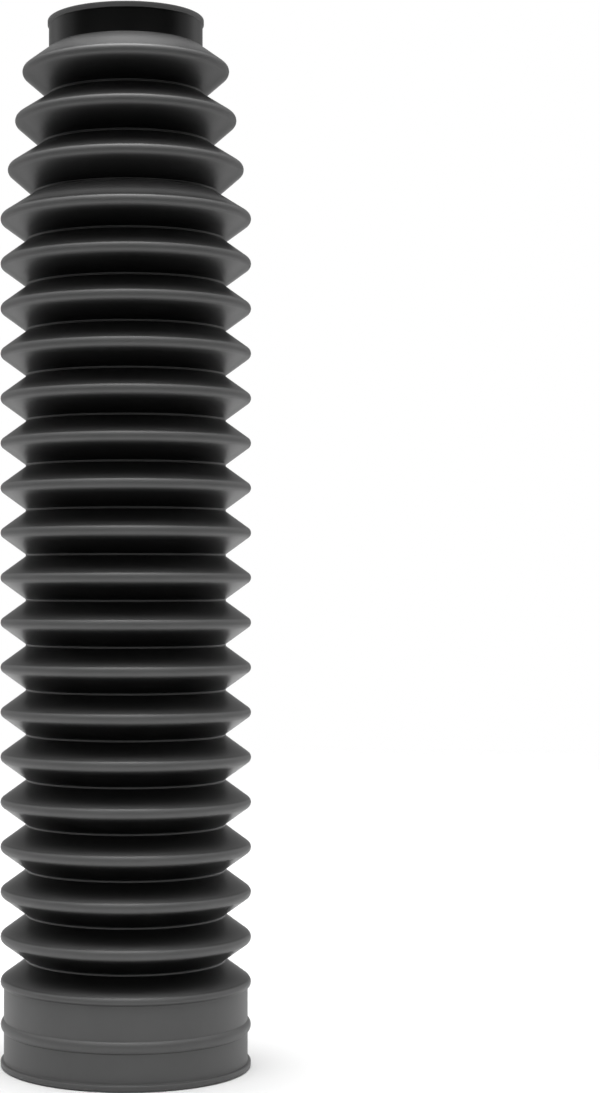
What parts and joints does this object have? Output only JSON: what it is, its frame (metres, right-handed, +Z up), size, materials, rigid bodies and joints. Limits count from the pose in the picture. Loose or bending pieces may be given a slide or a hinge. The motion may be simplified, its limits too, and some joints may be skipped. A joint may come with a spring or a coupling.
{
  "type": "fork gaiter",
  "caption": "Moulded rubber bellows that covers a motorcycle fork's sliding tube, with a short lipped collar on top, tapered then even folds, and a wide beaded cuff at the foot.",
  "frame": {"origin": "centre of the foot's underside, which the gaiter stands on", "axes": "+Z up along the fork, from the cuff's foot to the collar; the body is round about it, so X and Y are alike"},
  "size_m": [0.0716, 0.0716, 0.2983],
  "materials": {
    "rubber": "black moulded rubber, satin on the crests, lip and cuff and duller in the grooves"
  },
  "bodies": {
    "root": {"gaiter": "rubber"}
  },
  "joints": []
}
